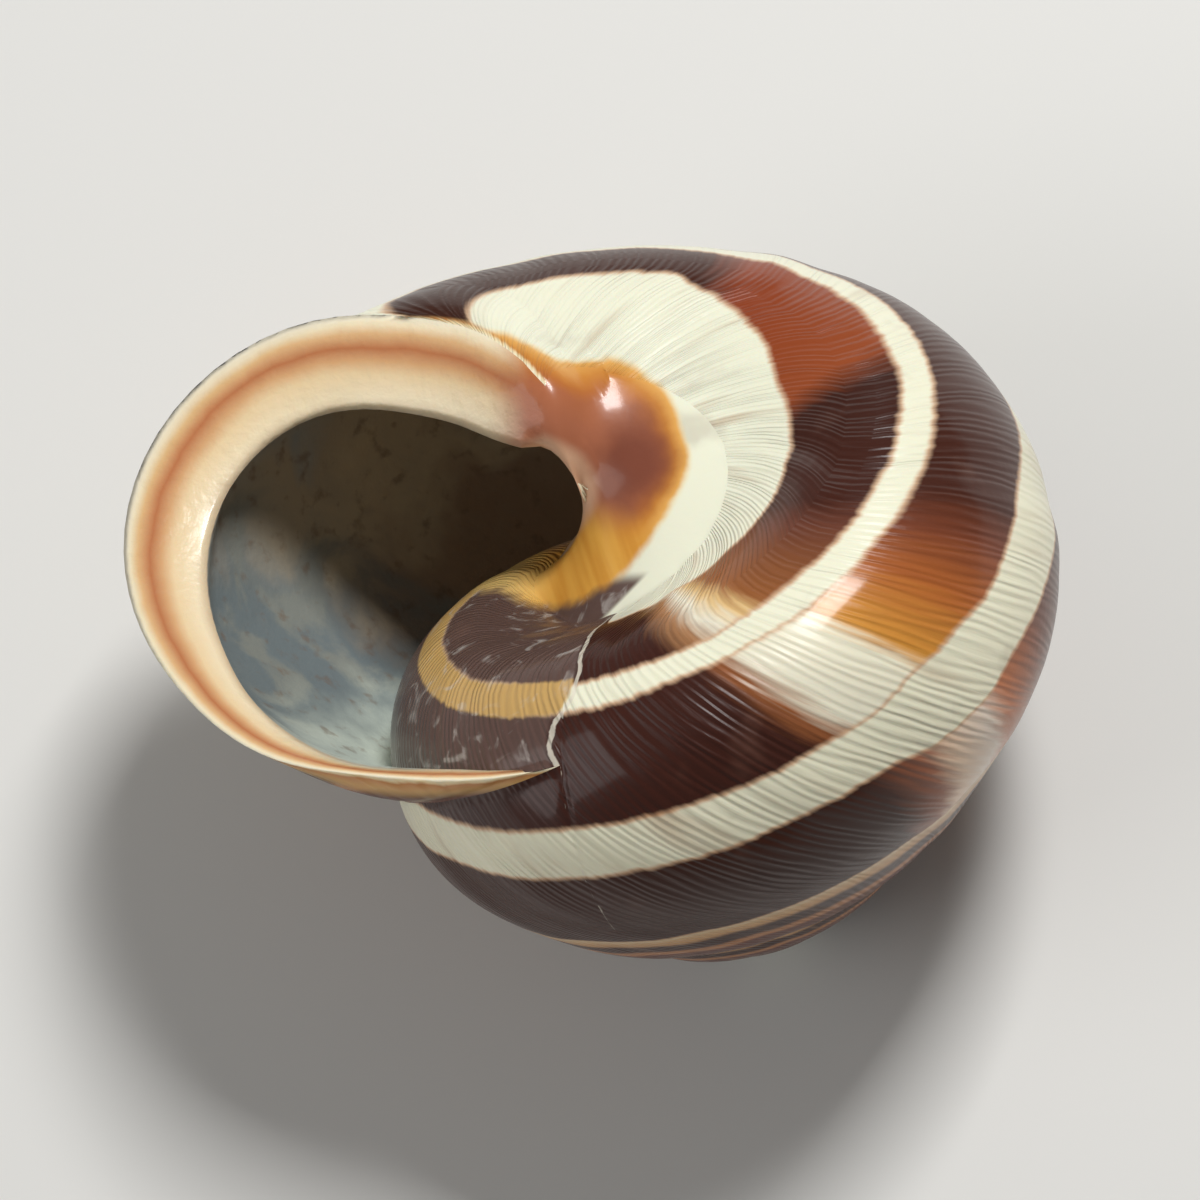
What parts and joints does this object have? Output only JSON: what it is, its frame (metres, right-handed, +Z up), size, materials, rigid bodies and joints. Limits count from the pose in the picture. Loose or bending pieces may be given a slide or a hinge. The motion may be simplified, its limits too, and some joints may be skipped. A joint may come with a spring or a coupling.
{
  "type": "land snail shell",
  "caption": "Empty right-handed land snail shell with banded, finely ribbed whorls and a wide mouth with a turned-back lip, lying mouth up.",
  "frame": {"origin": "centre of the shell's footprint box, at the height of the surface it rests on", "axes": "+Z up with the shell lying mouth up, +X along its longest extent, from the lip towards the side of the last whorl"},
  "size_m": [0.0304, 0.025, 0.0195],
  "materials": {
    "shell": null
  },
  "bodies": {
    "root": {"shell": "shell"}
  },
  "joints": []
}
